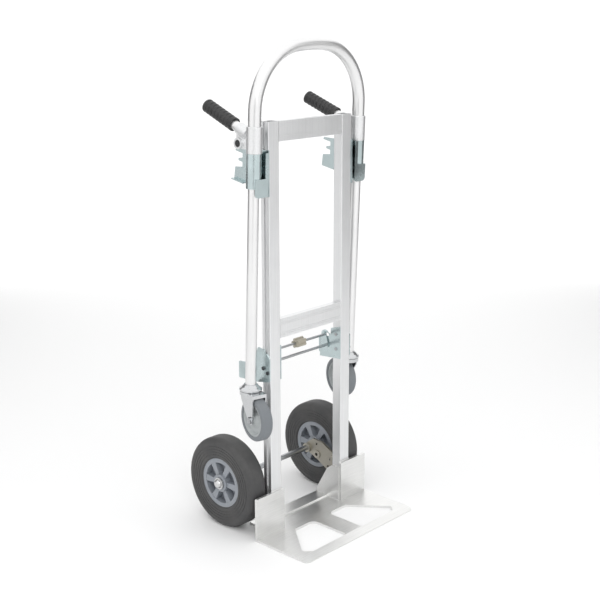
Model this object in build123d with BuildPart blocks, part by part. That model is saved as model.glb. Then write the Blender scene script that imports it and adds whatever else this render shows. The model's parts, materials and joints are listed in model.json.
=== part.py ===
"""Convertible hand truck: a ladder frame on a nose plate, with a loop handle that slides and folds.

Millimetres. +Z is up, the nose points to -Y and +X is the right-hand side seen from the nose. The origin is
on the underside of the nose plate, on the centre line and in line with the front faces of its upright wings.
Right-hand pieces are modelled and mirrored. The handle, its brackets and casters stand in a leaned frame.
"""
import os
from math import asin, atan2, cos, degrees, radians, sin, sqrt

from build123d import *

# ---------------------------------------------------------------- clearances
FIT = 0.05  # radial, a piece seated in another of the same body
RUNNING = 0.06  # radial, a pin in the hole that turns on it
GAP = 0.3  # between faces of pieces that move past each other
SLIDE_CLEAR = 0.3  # radial, handle tube in its guide bush

# ---------------------------------------------------------------- nose plate
NOSE_W = 457.0
NOSE_REACH = 185.0
NOSE_T = 7.0
NOSE_EDGE_T = 2.5
NOSE_BEVEL = 32.0
NOSE_CORNER_R = 14.0
NOSE_TAIL = 97.0
WINDOW_REAR_Y = -28.0
WINDOW_RIM = 31.0  # from the plate's front edge to the windows
WINDOW_CUT = (21.0, 20.0)  # cut across a window's outer corner, along X and Y
RIB_HALF = 32.0  # half of the centre rib between the windows
WINDOW_REAR_X = 108.0
WINDOW_SIDE = 36.0  # from the outer corner of a window to the side of the plate
WINDOW_R = 9.0
WINDOW_REAR_R = 20.0  # at the rear end of the centre rib
STRIP_D = 47.0
STRIP_T = 5.0
WING_H = 119.0
WING_T = 8.0
WING_LAP = 4.0  # how far a wing reaches inside the rail's inner face
WING_CORNER = 4.0
GUSSET_T = 6.0
GUSSET_H = 104.0
GUSSET_TOP_D = 15.0

# ---------------------------------------------------------------- rails and crossbars
RAIL_INNER = 124.0
RAIL_W = 39.0
RAIL_D = 30.0
RAIL_WALL = 3.0
RAIL_EDGE_R = 2.0
RAIL_TOP = 1142.0
GROOVE_W = 7.0
GROOVE_DEPTH = 4.0
BAR_H = 53.0
BAR_D = 19.0
BAR_WALL = 3.0
BAR_LIP = 9.0
BAR_REED_W = 3.0
BAR_REED_DEPTH = 0.8
BAR_REED_Z = (-17.0, -12.0, 12.0, 17.0)
MID_BAR_TOP = 614.0
CLEAT_LEG = 22.0
CLEAT_T = 3.0
CLEAT_H = 34.0
RIVET_R = 2.4
RIVET_HEAD_R = 4.6
RIVET_HEAD_T = 1.8
RIVET_TAIL_R = 2.7
CLEAT_RIVET_Z = 10.0

# ---------------------------------------------------------------- axle and main wheels
AXLE_R = 7.95
AXLE_Y = 150.0
TYRE_R = 130.5
TYRE_W = 61.0
WHEEL_GAP = 3.0  # from the side of a rail to the tyre
TYRE_SHOULDER = 17.0
SIDE_GROOVE = (1.6, 0.9)  # width, depth
SIDE_GROOVE_PITCH = 8.0
SIDE_GROOVES = 4
RIM_R = 71.0
RIM_T = 12.0
RIM_INSET = 4.0  # rim inside the tyre, on each side
SPOKES = 6
SPOKE_ROOT_W = 12.0
SPOKE_TIP_W = 20.0
SPOKE_INSET = 5.0  # inside the tyre, on each side
WEB_T = 8.0
HUB_R = 25.0
HUB_PROUD = 1.5  # hub outside the tyre, on each side
BEARING_R = 17.5
BEARING_W = 11.0
HUB_BORE_R = 12.0
CAP_R = 14.0
CAP_L = 9.0
WASHER_T = 2.5
BRACKET_BOSS_R = 14.0
BRACKET_BOSS_W = 24.0
BRACKET_WEB_T = 8.0
BRACKET_FLANGE_T = 8.0
BRACKET_FLANGE = (-61.0, 5.0)  # bottom and top, from the axle's height
BRACKET_EYE = (-37.0, -13.0, 13.0, 5.0)  # y and z from the axle, outer radius, bore radius
BRACKET_SMALL_HOLES = ((-35.0, 19.0, 3.2), (-81.0, -40.0, 3.8))  # y and z from the axle, radius
BRACKET_BOLT_X = 12.5
BRACKET_BOLT_Z = (-47.0, -9.0)  # from the axle's height
BOLT_R = 4.0
BOLT_HEX = 6.5
BOLT_HEAD_T = 4.5

# ---------------------------------------------------------------- handle
LEAN = 2.23  # degrees, the handle's feet stand further back than its top
HANDLE_FOOT_Y = 61.7  # where the handle's plane meets the floor
HANDLE_GAP = 39.5  # from the side of a rail to the middle of a leg
TUBE_R = 17.2  # of the loop
LEG_R = 14.8  # of the two legs below it
TUBE_WALL = 2.2
LOOP_RISE = 252.0  # top of the loop above the joint in the tube
LOOP_CORNER_R = 165.0
LOOP_CROWN_R = 500.0
TUBE_JOINT = 134.0  # this and the next four are heights above the fold pivot
CASTING = (100.0, 168.0)
GRIP_AXIS = 137.0
BOSS = 121.0
SLEEVE_FOOT = 10.0
CASTING_T = 3.5
CASTING_WEB_T = 16.0
GRIP_RISE = 19.8
GRIP_TOE_IN = 2.4
GRIP_TUBE_R = 12.7
GRIP_TUBE_WALL = 2.0
GRIP_R = 18.5
GRIP_START = 82.0
GRIP_L = 118.0
SOCKET_R = 16.5
SOCKET_END = 60.0
SOCKET_START = 24.0
BOSS_Y = 46.0
BOSS_R = 14.5
BOSS_BORE_R = 9.5
PLUG_INSET = 1.0  # of the plug, inside each end of the bore
BOSS_REACH = (15.0, 15.0)  # from the middle of the leg, inwards and outwards

# ---------------------------------------------------------------- swivel bracket on the rail
FOLD_Y = 23.0
FOLD_DROP = 176.0  # below the tops of the rails
FOLD_PIN_R = 6.0
FOLD_HEAD_R = 9.0
FOLD_HEAD_T = 4.0
HINGE_PLATE_T = 3.0
HINGE_PLATE = (-16.0, 104.0)  # bottom and top, from the fold pivot
HINGE_RIVET_Y = 9.25  # either side of the rail's middle
HINGE_RIVETS = (26.0, 90.0)  # above the fold pivot
BUSH_T = 3.2
SLEEVE_T = 2.0
HOOK_T = 3.5
HOOK_GAP = 4.7  # from the hinge plate to the hook plate
HOOK_LOBE_R = 14.0
HOOK_FRONT = -17.0
HOOK_ROOT = 71.0  # bottom of the two notches, from the tube's axis
HOOK_TIP = 98.0
TOOTH_TIP = 86.0
TONGUE_T = 3.0
CHEEK_W = 11.0  # of the front plate that runs up beside the tube
TONGUE = (-13.0, 35.0)  # bottom and top, from the fold pivot
TONGUE_REACH = 13.5  # outwards from the middle of the leg
TONGUE_R = 11.0
REAR_WEB_Y = (6.0, 9.5)

# ---------------------------------------------------------------- lower bracket, rods and latch
FOOT_PLATE_T = 3.0
FOOT_SCREWS = ((8.0, 36.0), (-8.0, 25.0))  # behind the rail's middle and over the keeper's bottom
FOOT_SCREW_R = 3.0
FOOT_SCREW_HEAD = (5.5, 3.5)  # radius, thickness
KEEPER_T = 3.5
KEEPER_TOP = 541.0
KEEPER_H = 96.0
KEEPER_REAR = 77.0  # behind the rail's front face
KEEPER_RIVETS = (-21.0, 23.0)  # from the middle of a keeper
TIE_ROD_R = 4.0
TIE_ROD = (49.0, 34.0)  # from the rail's front face and over the keeper's bottom
LATCH_ROD_R = 3.6
LATCH_ROD = (9.0, 29.0)  # behind the tie rod and over it
LATCH_SWING = 22.0  # degrees, towards the front
HOOK_R = 13.5  # of the keeper round the latch rod
HOOK_CLEAR = 1.2
LINK_T = 4.0
LINK_R = 8.0
KNOB_X = 12.0
KNOB_L = 34.0
KNOB_R = 10.0
KNOB_LOBE_R = 4.4
KNOB_LOBES = 5

# ---------------------------------------------------------------- casters
CASTER_R = 59.5
CASTER_W = 32.0
CASTER_TREAD_T = 13.0
CASTER_LIFT = 33.0  # over the top of the main tyres
CASTER_TRAIL = 34.0
CASTER_HUB_R = 14.0
CASTER_HUB_W = 35.0
CASTER_BOLT_R = 6.0
FORK_INSIDE = 36.5
FORK_T = 3.5
FORK_CROWN_R = 29.5
FORK_CROWN_T = 10.0
CROWN_CLEAR = 2.5  # over the wheel
FORK_EYE_R = 12.0
CUP_R = 31.0
CUP_H = 18.0
KINGPIN_R = 6.0
KINGPIN_NUT_R = 10.0
KINGPIN_NUT_T = 6.0
STEM_L = 34.0
CASTER_HEADING = {"left": -13.0, "right": 166.5}  # degrees about the handle tube, 0 trails to the front

# ---------------------------------------------------------------- derived places
RAIL_OUTER = RAIL_INNER + RAIL_W
RAIL_MID_X = RAIL_INNER + RAIL_W / 2
RAIL_FRONT = WING_T
RAIL_BACK = RAIL_FRONT + RAIL_D
RAIL_MID_Y = RAIL_FRONT + RAIL_D / 2
AXLE_Z = TYRE_R
WHEEL_X = RAIL_OUTER + WHEEL_GAP + TYRE_W / 2
RIM_W = TYRE_W - 2 * RIM_INSET
HUB_W = TYRE_W + 2 * HUB_PROUD
BRACKET_WEB_X = RAIL_MID_X
BRACKET_FLANGE_Z = [AXLE_Z + z for z in BRACKET_FLANGE]
EYE_Y, EYE_Z = AXLE_Y + BRACKET_EYE[0], AXLE_Z + BRACKET_EYE[1]
BAR_TOPS = (RAIL_TOP, MID_BAR_TOP)
BAR_MIDS = [top - BAR_H / 2 for top in BAR_TOPS]
HUB_FACE = HUB_W / 2
BOSS_FACE = BRACKET_WEB_X + BRACKET_BOSS_W / 2
HOOK_X = RAIL_OUTER + HINGE_PLATE_T + HOOK_GAP
KEEPER_X = RAIL_INNER - KEEPER_T
LINK_X = KEEPER_X - GAP - LINK_T
KEEPER_BOTTOM = KEEPER_TOP - KEEPER_H
KEEPER_BACK = RAIL_FRONT + KEEPER_REAR
TIE_Y, TIE_Z = RAIL_FRONT + TIE_ROD[0], KEEPER_BOTTOM + TIE_ROD[1]
LATCH_Y, LATCH_Z = TIE_Y + LATCH_ROD[0], TIE_Z + LATCH_ROD[1]
CASTER_BOTTOM = 2 * TYRE_R + CASTER_LIFT
CASTER_AXLE_Z = CASTER_BOTTOM + CASTER_R
CASTER_TOP = CASTER_BOTTOM + 2 * CASTER_R
FORK_CROWN_Z = (CASTER_TOP + CROWN_CLEAR, CASTER_TOP + CROWN_CLEAR + FORK_CROWN_T)
CUP_Z = FORK_CROWN_Z[1] + GAP
TUBE_FOOT_Z = CUP_Z + CUP_H + FIT
FOOT_SCREW_YZ = [(RAIL_MID_Y + y, KEEPER_BOTTOM + z) for y, z in FOOT_SCREWS]
HANDLE_X = RAIL_OUTER + HANDLE_GAP
FOLD_Z = RAIL_TOP - FOLD_DROP
HINGE_PLATE_Z = [FOLD_Z + z for z in HINGE_PLATE]
TONGUE_Z = [FOLD_Z + z for z in TONGUE]
TONGUE_OUT = HANDLE_X + TONGUE_REACH
CASTING_Z = [FOLD_Z + z for z in CASTING]
TUBE_JOINT_Z = FOLD_Z + TUBE_JOINT
LOOP_TOP = TUBE_JOINT_Z + LOOP_RISE
GRIP_AXIS_Z = FOLD_Z + GRIP_AXIS
BOSS_Z = FOLD_Z + BOSS
BOSS_X = (HANDLE_X - BOSS_REACH[0], HANDLE_X + BOSS_REACH[1])
SLEEVE_Z0 = FOLD_Z + SLEEVE_FOOT
CASTING_R = TUBE_R + CASTING_T
BUSH_R = LEG_R + SLIDE_CLEAR + BUSH_T
SLEEVE_R = BUSH_R + SLEEVE_T

LEAN_DIR = (0, -sin(radians(LEAN)), cos(radians(LEAN)))
LEANED = Plane(origin=(0, HANDLE_FOOT_Y, 0), x_dir=(1, 0, 0), z_dir=LEAN_DIR)


def placed(frame, plane=Plane.XY, at=(0, 0, 0)):
    """The given plane, moved to a point of a frame."""
    return Plane(frame.location * Location(at) * plane.location)


def lean_y(y, z):
    """Distance behind the handle's plane of a point given by its upright y and z."""
    return (y - HANDLE_FOOT_Y) * cos(radians(LEAN)) + z * sin(radians(LEAN))


def swung(degrees_forward):
    """Where the latch rod stands after it has swung forward about the tie rod."""
    turn = radians(degrees_forward)
    across, up = LATCH_ROD
    return TIE_Y + across * cos(turn) - up * sin(turn), TIE_Z + across * sin(turn) + up * cos(turn)


def lean_z(y, z):
    """Height along the handle of a point given by its upright y and z."""
    return z * cos(radians(LEAN)) - (y - HANDLE_FOOT_Y) * sin(radians(LEAN))


def write(piece, node):
    piece.label = node
    export_step(piece, f"parts/{node}.step")


def write_pair(right, stem):
    """Writes a right-hand piece and its mirror image."""
    write(right, f"{stem}_right")
    write(mirror(right, about=Plane.YZ), f"{stem}_left")


os.makedirs("parts", exist_ok=True)

# ================================================================ nose
with BuildPart() as nose_plate:
    with BuildSketch(Plane.YZ) as side_profile:
        with BuildLine():
            Polyline(
                (-NOSE_REACH, 0), (-NOSE_REACH, NOSE_EDGE_T), (NOSE_BEVEL - NOSE_REACH, NOSE_T),
                (NOSE_TAIL, NOSE_T), (NOSE_TAIL, 0), close=True,
            )
        make_face()
    extrude(amount=NOSE_W / 2, both=True)
    with BuildSketch() as outline:
        with BuildLine():
            Polyline(
                (0, -NOSE_REACH), (NOSE_W / 2, -NOSE_REACH), (NOSE_W / 2, WING_T), (RAIL_OUTER, WING_T),
                (RAIL_OUTER, NOSE_TAIL), (0, NOSE_TAIL),
            )
            mirror(about=Plane.YZ)
        make_face()
        fillet(outline.vertices().group_by(Axis.Y)[0].sort_by(Axis.X)[0], radius=NOSE_CORNER_R)
        fillet(outline.vertices().group_by(Axis.Y)[0].sort_by(Axis.X)[-1], radius=NOSE_CORNER_R)
        with BuildSketch(mode=Mode.PRIVATE) as windows:
            with BuildLine():
                side_x, front_y = NOSE_W / 2 - WINDOW_SIDE, WINDOW_RIM - NOSE_REACH
                Polyline(
                    (RIB_HALF, WINDOW_REAR_Y), (WINDOW_REAR_X, WINDOW_REAR_Y),
                    (side_x, front_y + WINDOW_CUT[1]), (side_x - WINDOW_CUT[0], front_y),
                    (RIB_HALF, front_y), close=True,
                )
            make_face()
            rear_corner = windows.vertices().group_by(Axis.Y)[-1].sort_by(Axis.X)[0]
            fillet(windows.vertices() - ShapeList([rear_corner]), radius=WINDOW_R)
            fillet(windows.vertices().group_by(Axis.X)[0].sort_by(Axis.Y)[-1], radius=WINDOW_REAR_R)
            mirror(about=Plane.YZ)
        add(windows.sketch, mode=Mode.SUBTRACT)
    extrude(amount=NOSE_T, mode=Mode.INTERSECT)
write(nose_plate.part, "nose_plate")

with BuildPart() as rear_strip:
    with BuildSketch(Plane.XY.offset(NOSE_T)):
        with Locations((0, NOSE_TAIL - STRIP_D / 2)):
            Rectangle(2 * (RAIL_INNER - GUSSET_T), STRIP_D)
    extrude(amount=STRIP_T)
    chamfer(rear_strip.edges().filter_by(Axis.X).group_by(Axis.Z)[-1], length=STRIP_T * 0.4)
write(rear_strip.part, "rear_strip")

with BuildPart() as wing:
    with BuildSketch(Plane.XZ) as face:
        with BuildLine():
            Polyline(
                (RAIL_INNER - WING_LAP, NOSE_T), (NOSE_W / 2, NOSE_T), (NOSE_W / 2, NOSE_T + WING_H),
                (RAIL_INNER - WING_LAP, NOSE_T + WING_H), close=True,
            )
        make_face()
        fillet(face.vertices().group_by(Axis.Y)[-1], radius=WING_CORNER)
    extrude(amount=-WING_T)
write_pair(wing.part, "wing")

with BuildPart() as gusset:
    with BuildSketch(Plane.YZ.offset(RAIL_INNER - GUSSET_T)):
        with BuildLine():
            Polyline(
                (RAIL_FRONT, NOSE_T), (NOSE_TAIL, NOSE_T), (NOSE_TAIL - 6, NOSE_T + 22),
                (RAIL_BACK + GUSSET_TOP_D, NOSE_T + GUSSET_H - 14), (RAIL_BACK - 4, NOSE_T + GUSSET_H),
                (RAIL_FRONT, NOSE_T + GUSSET_H), close=True,
            )
        make_face()
    extrude(amount=GUSSET_T)
write_pair(gusset.part, "gusset")

# ================================================================ rails and crossbars
cleat_rivets = [(RAIL_MID_Y - 2, mid + s * CLEAT_RIVET_Z) for mid in BAR_MIDS for s in (-1, 1)]
hinge_rivets = [(RAIL_MID_Y + s * HINGE_RIVET_Y, FOLD_Z + z) for z in HINGE_RIVETS for s in (-1, 1)]
keeper_mid = KEEPER_TOP - KEEPER_H / 2
keeper_rivets = [(RAIL_MID_Y, keeper_mid + z) for z in KEEPER_RIVETS]
flange_bolts = [(RAIL_MID_X + s * BRACKET_BOLT_X, AXLE_Z + z) for z in BRACKET_BOLT_Z for s in (-1, 1)]

with BuildPart() as rail:
    with BuildSketch(Plane.XY.offset(NOSE_T)) as section:
        with Locations((RAIL_MID_X, RAIL_MID_Y)):
            RectangleRounded(RAIL_W, RAIL_D, RAIL_EDGE_R)
            Rectangle(RAIL_W - 2 * RAIL_WALL, RAIL_D - 2 * RAIL_WALL, mode=Mode.SUBTRACT)
        groove_back = RAIL_WALL + GROOVE_DEPTH
        with Locations((RAIL_OUTER - groove_back / 2, RAIL_MID_Y)):
            Rectangle(groove_back, GROOVE_W + 2 * RAIL_WALL)
        with Locations((RAIL_OUTER - GROOVE_DEPTH / 2, RAIL_MID_Y)):
            Rectangle(GROOVE_DEPTH, GROOVE_W, mode=Mode.SUBTRACT)
    extrude(amount=RAIL_TOP - NOSE_T)
    inner_holes = [(RAIL_INNER, y, z) for y, z in cleat_rivets + keeper_rivets]
    outer_holes = [(RAIL_OUTER, y, z) for y, z in hinge_rivets]
    screw_holes = [(RAIL_OUTER, y, z) for y, z in FOOT_SCREW_YZ]
    with Locations(*inner_holes, *outer_holes):
        Cylinder(RIVET_R + FIT, 4 * RAIL_WALL, rotation=(0, 90, 0), mode=Mode.SUBTRACT)
    with Locations(*screw_holes):
        Cylinder(FOOT_SCREW_R + FIT, 4 * RAIL_WALL, rotation=(0, 90, 0), mode=Mode.SUBTRACT)
    with Locations((RAIL_OUTER, FOLD_Y, FOLD_Z)):
        Cylinder(FOLD_PIN_R + FIT, 4 * groove_back, rotation=(0, 90, 0), mode=Mode.SUBTRACT)
    with Locations(*[(x, RAIL_BACK, z) for x, z in flange_bolts]):
        Cylinder(BOLT_R + FIT, 4 * RAIL_WALL, rotation=(90, 0, 0), mode=Mode.SUBTRACT)
write_pair(rail.part, "rail")


def crossbar(top):
    """An open-backed channel between the rails, its front face reeded along its length."""
    with BuildPart() as bar:
        with BuildSketch(Plane.YZ.offset(-RAIL_INNER)):
            with Locations((RAIL_FRONT + BAR_D / 2, top - BAR_H / 2)):
                Rectangle(BAR_D, BAR_H)
            with Locations((RAIL_FRONT + BAR_WALL + BAR_D / 2, top - BAR_H / 2)):
                Rectangle(BAR_D, BAR_H - 2 * BAR_LIP, mode=Mode.SUBTRACT)
            with Locations((RAIL_FRONT + BAR_D / 2, top - BAR_H / 2)):
                Rectangle(BAR_D - 2 * BAR_WALL, BAR_H - 2 * BAR_WALL, mode=Mode.SUBTRACT)
            with Locations(*[(RAIL_FRONT, top - BAR_H / 2 + z) for z in BAR_REED_Z]):
                Rectangle(2 * BAR_REED_DEPTH, BAR_REED_W, mode=Mode.SUBTRACT)
        extrude(amount=2 * RAIL_INNER)
        long_edges = bar.edges().filter_by(Axis.X).group_by(Axis.Z)
        fillet(long_edges[0] + long_edges[-1], radius=BAR_WALL / 3)
    return bar.part


write(crossbar(RAIL_TOP), "top_crossbar")
write(crossbar(MID_BAR_TOP), "middle_crossbar")

with BuildPart() as crossbar_cleats:
    for mid in BAR_MIDS:
        for side in (-1, 1):
            with BuildSketch(Plane.XY.offset(mid - CLEAT_H / 2)):
                with BuildLine():
                    front, wall = RAIL_FRONT + BAR_WALL, side * RAIL_INNER
                    tip, inside = wall - side * CLEAT_LEG, wall - side * CLEAT_T
                    Polyline(
                        (wall, front), (tip, front), (tip, front + CLEAT_T), (inside, front + CLEAT_T),
                        (inside, RAIL_FRONT + BAR_D), (wall, RAIL_FRONT + BAR_D), close=True,
                    )
                make_face()
            extrude(amount=CLEAT_H)
    with Locations(*[(s * RAIL_INNER, y, z) for y, z in cleat_rivets for s in (-1, 1)]):
        Cylinder(RIVET_R + FIT, 4 * CLEAT_T, rotation=(0, 90, 0), mode=Mode.SUBTRACT)
write(crossbar_cleats.part, "crossbar_cleats")


# each rivet: where its head seats, which way along X it grips, and how much it grips
rivets = []
for side in (-1, 1):
    hinge_x = RAIL_OUTER + HINGE_PLATE_T
    rivets += [(side * (RAIL_INNER - CLEAT_T), y, z, side, CLEAT_T + RAIL_WALL) for y, z in cleat_rivets]
    rivets += [(side * KEEPER_X, y, z, side, KEEPER_T + RAIL_WALL) for y, z in keeper_rivets]
    rivets += [(side * hinge_x, y, z, -side, HINGE_PLATE_T + RAIL_WALL) for y, z in hinge_rivets]

with BuildPart() as frame_rivets:
    for x, y, z, way, grip in rivets:
        seat = Plane(origin=(x, y, z), x_dir=(0, 1, 0), z_dir=(way, 0, 0))
        with BuildSketch(seat):
            Circle(RIVET_R)
        extrude(amount=grip)
        with BuildSketch(seat.offset(-RIVET_HEAD_T)):
            Circle(RIVET_HEAD_R)
        extrude(amount=RIVET_HEAD_T)
        with BuildSketch(seat.offset(grip)):
            Circle(RIVET_TAIL_R)
        extrude(amount=RIVET_HEAD_T)
write(frame_rivets.part, "frame_rivets")

# ================================================================ axle and its brackets
with BuildPart() as axle_bracket:
    with BuildSketch(Plane.YZ.offset(BRACKET_WEB_X - BRACKET_WEB_T / 2)) as web:
        with BuildLine():
            Polyline(
                (RAIL_BACK + 1, BRACKET_FLANGE_Z[0] + 3), (RAIL_BACK + 1, BRACKET_FLANGE_Z[1] - 4),
                (EYE_Y - 17, AXLE_Z + 30), (EYE_Y + 17, AXLE_Z + 32),
                (AXLE_Y + BRACKET_BOSS_R * 0.6, AXLE_Z + BRACKET_BOSS_R * 0.8),
                (AXLE_Y, AXLE_Z - BRACKET_BOSS_R + 1), (EYE_Y + 4, EYE_Z - BRACKET_EYE[2]),
                (AXLE_Y + BRACKET_SMALL_HOLES[1][0] + 4, AXLE_Z - 51),
                close=True,
            )
        make_face()
    extrude(amount=BRACKET_WEB_T)
    with BuildSketch(Plane.XZ.offset(-RAIL_BACK)) as flange:
        with Locations((RAIL_MID_X, sum(BRACKET_FLANGE_Z) / 2)):
            RectangleRounded(RAIL_W, BRACKET_FLANGE_Z[1] - BRACKET_FLANGE_Z[0], 4)
    extrude(amount=-BRACKET_FLANGE_T)
    with Locations((BRACKET_WEB_X, AXLE_Y, AXLE_Z)):
        Cylinder(BRACKET_BOSS_R, BRACKET_BOSS_W, rotation=(0, 90, 0))
    with Locations((BRACKET_WEB_X, EYE_Y, EYE_Z)):
        Cylinder(BRACKET_EYE[2], BRACKET_WEB_T + 6, rotation=(0, 90, 0))
        Cylinder(BRACKET_EYE[3], 2 * BRACKET_BOSS_W, rotation=(0, 90, 0), mode=Mode.SUBTRACT)
    for y, z, radius in BRACKET_SMALL_HOLES:
        with Locations((BRACKET_WEB_X, AXLE_Y + y, AXLE_Z + z)):
            Cylinder(radius, 2 * BRACKET_WEB_T, rotation=(0, 90, 0), mode=Mode.SUBTRACT)
    with Locations((BRACKET_WEB_X, AXLE_Y, AXLE_Z)):
        Cylinder(AXLE_R + FIT, 2 * BRACKET_BOSS_W, rotation=(0, 90, 0), mode=Mode.SUBTRACT)
    with Locations(*[(x, RAIL_BACK, z) for x, z in flange_bolts]):
        Cylinder(BOLT_R + FIT, 4 * BRACKET_FLANGE_T, rotation=(90, 0, 0), mode=Mode.SUBTRACT)
write_pair(axle_bracket.part, "axle_bracket")

with BuildPart() as bracket_bolts:
    head_face = RAIL_BACK + BRACKET_FLANGE_T
    for side in (-1, 1):
        with BuildSketch(Plane.XZ.offset(-head_face)):
            with Locations(*[(side * x, z) for x, z in flange_bolts]):
                RegularPolygon(BOLT_HEX, 6)
        extrude(amount=-BOLT_HEAD_T)
        with BuildSketch(Plane.XZ.offset(-head_face)):
            with Locations(*[(side * x, z) for x, z in flange_bolts]):
                Circle(BOLT_R)
        extrude(amount=BRACKET_FLANGE_T + RAIL_WALL)
write(bracket_bolts.part, "bracket_bolts")

with BuildPart() as axle:
    with Locations((0, AXLE_Y, AXLE_Z)):
        Cylinder(AXLE_R, 2 * (WHEEL_X + HUB_FACE + WASHER_T + GAP + CAP_L / 2), rotation=(0, 90, 0))
    chamfer(axle.edges(), length=1)
write(axle.part, "axle")

AXLE_LINE = Axis((0, AXLE_Y, AXLE_Z), (1, 0, 0))
# x along the axle, y outwards from it
AXLE_PLANE = Plane(origin=(0, AXLE_Y, AXLE_Z), x_dir=(1, 0, 0), z_dir=(0, -1, 0))

with BuildPart() as axle_spacers:
    spacer_l = WHEEL_X - HUB_FACE - GAP - BOSS_FACE
    with BuildSketch(AXLE_PLANE):
        with Locations(*[(s * (BOSS_FACE + spacer_l / 2), AXLE_R + 2.2 + FIT) for s in (-1, 1)]):
            Rectangle(spacer_l, 4.4)
    revolve(axis=AXLE_LINE)
write(axle_spacers.part, "axle_spacers")

with BuildPart() as axle_caps:
    cap_x = WHEEL_X + HUB_FACE + GAP
    lid_x = cap_x + WASHER_T + CAP_L / 2 + FIT
    dome_x = cap_x + WASHER_T + 3
    with BuildSketch(AXLE_PLANE):
        with BuildLine():
            Polyline(
                (lid_x, 0), (lid_x, AXLE_R + FIT), (cap_x, AXLE_R + FIT), (cap_x, CAP_R + 2.5),
                (cap_x + WASHER_T, CAP_R + 2.5), (cap_x + WASHER_T, CAP_R - 1), (dome_x, CAP_R - 1.5),
            )
            TangentArc((dome_x, CAP_R - 1.5), (cap_x + WASHER_T + CAP_L, CAP_R * 0.45), tangent=(1, -0.3))
            Polyline((cap_x + WASHER_T + CAP_L, CAP_R * 0.45), (cap_x + WASHER_T + CAP_L, 0), (lid_x, 0))
        make_face()
    revolve(axis=AXLE_LINE)
    mirror(about=Plane.YZ)
write(axle_caps.part, "axle_caps")

# ================================================================ main wheels, one on each side
MAIN_WHEEL = placed(AXLE_PLANE, at=(WHEEL_X, 0, 0))

with BuildPart() as tyre:
    with BuildSketch(MAIN_WHEEL) as section:
        with Locations((0, (RIM_R + TYRE_R) / 2)):
            Rectangle(TYRE_W, TYRE_R - RIM_R)
        fillet(section.vertices().group_by(Axis.Y)[-1], radius=TYRE_SHOULDER)
        chamfer(section.vertices().group_by(Axis.Y)[0], length=RIM_INSET)
        ring_r = [RIM_R + (n + 1.5) * SIDE_GROOVE_PITCH for n in range(SIDE_GROOVES)]
        with Locations(*[(s * TYRE_W / 2, r) for r in ring_r for s in (-1, 1)]):
            Rectangle(2 * SIDE_GROOVE[1], SIDE_GROOVE[0], mode=Mode.SUBTRACT)
    revolve(axis=AXLE_LINE)
write_pair(tyre.part, "tyre")

with BuildPart() as wheel_core:
    with BuildSketch(MAIN_WHEEL):
        with Locations((0, RIM_R - RIM_T / 2)):
            Rectangle(RIM_W, RIM_T)
        with Locations((0, (HUB_R + RIM_R - RIM_T) / 2)):
            Rectangle(WEB_T, RIM_R - RIM_T - HUB_R + 1)
        with Locations((0, (HUB_BORE_R + HUB_R) / 2)):
            Rectangle(HUB_W - 4, HUB_R - HUB_BORE_R)
    revolve(axis=AXLE_LINE)
    spoke_l = RIM_R - RIM_T - HUB_R + 4
    spoke_side = degrees(atan2(spoke_l, (SPOKE_TIP_W - SPOKE_ROOT_W) / 2))
    spoke_depth = TYRE_W - 2 * SPOKE_INSET
    with BuildSketch(Plane.YZ.offset(WHEEL_X - spoke_depth / 2)):
        with Locations((AXLE_Y, AXLE_Z)):
            with PolarLocations((HUB_R + RIM_R - RIM_T) / 2, SPOKES):
                Trapezoid(SPOKE_TIP_W, spoke_l, spoke_side, rotation=90)
    extrude(amount=spoke_depth)
    for side in (-1, 1):
        with Locations((WHEEL_X + side * (HUB_FACE - BEARING_W / 2), AXLE_Y, AXLE_Z)):
            Cylinder(BEARING_R + FIT, BEARING_W, rotation=(0, 90, 0), mode=Mode.SUBTRACT)
write_pair(wheel_core.part, "wheel_core")

with BuildPart() as wheel_bearings:
    with BuildSketch(MAIN_WHEEL):
        for side in (-1, 1):
            with Locations((side * (HUB_FACE - BEARING_W / 2), (AXLE_R + RUNNING + BEARING_R) / 2)):
                Rectangle(BEARING_W, BEARING_R - AXLE_R - RUNNING)
            with Locations((side * HUB_FACE, (AXLE_R + BEARING_R) / 2)):
                Rectangle(1.6, (BEARING_R - AXLE_R) * 0.45, mode=Mode.SUBTRACT)
    revolve(axis=AXLE_LINE)
write_pair(wheel_bearings.part, "wheel_bearings")

# ================================================================ handle: loop, legs, castings and grips
with BuildPart() as loop_tube:
    crown_z = LOOP_TOP - TUBE_R
    corner_x = HANDLE_X - LOOP_CORNER_R
    rise = sqrt((LOOP_CROWN_R - LOOP_CORNER_R) ** 2 - corner_x**2)
    corner_z = crown_z - LOOP_CROWN_R + rise
    meet = asin(corner_x / (LOOP_CROWN_R - LOOP_CORNER_R))  # turn of the crown arc at its ends, in radians
    meet_x, meet_z = corner_x + LOOP_CORNER_R * sin(meet), corner_z + LOOP_CORNER_R * cos(meet)
    half = (radians(90) + meet) / 2
    mid_x, mid_z = corner_x + LOOP_CORNER_R * sin(half), corner_z + LOOP_CORNER_R * cos(half)
    with BuildLine(placed(LEANED, Plane.XZ)) as loop_path:
        Line((-HANDLE_X, TUBE_JOINT_Z), (-HANDLE_X, corner_z))
        ThreePointArc((-HANDLE_X, corner_z), (-mid_x, mid_z), (-meet_x, meet_z))
        ThreePointArc((-meet_x, meet_z), (0, crown_z), (meet_x, meet_z))
        ThreePointArc((meet_x, meet_z), (mid_x, mid_z), (HANDLE_X, corner_z))
        Line((HANDLE_X, corner_z), (HANDLE_X, TUBE_JOINT_Z))
    with BuildSketch(placed(LEANED, at=(-HANDLE_X, 0, TUBE_JOINT_Z))):
        Circle(TUBE_R)
        Circle(TUBE_R - TUBE_WALL, mode=Mode.SUBTRACT)
    sweep(path=loop_path.wires()[0])
write(loop_tube.part, "loop_tube")

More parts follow.
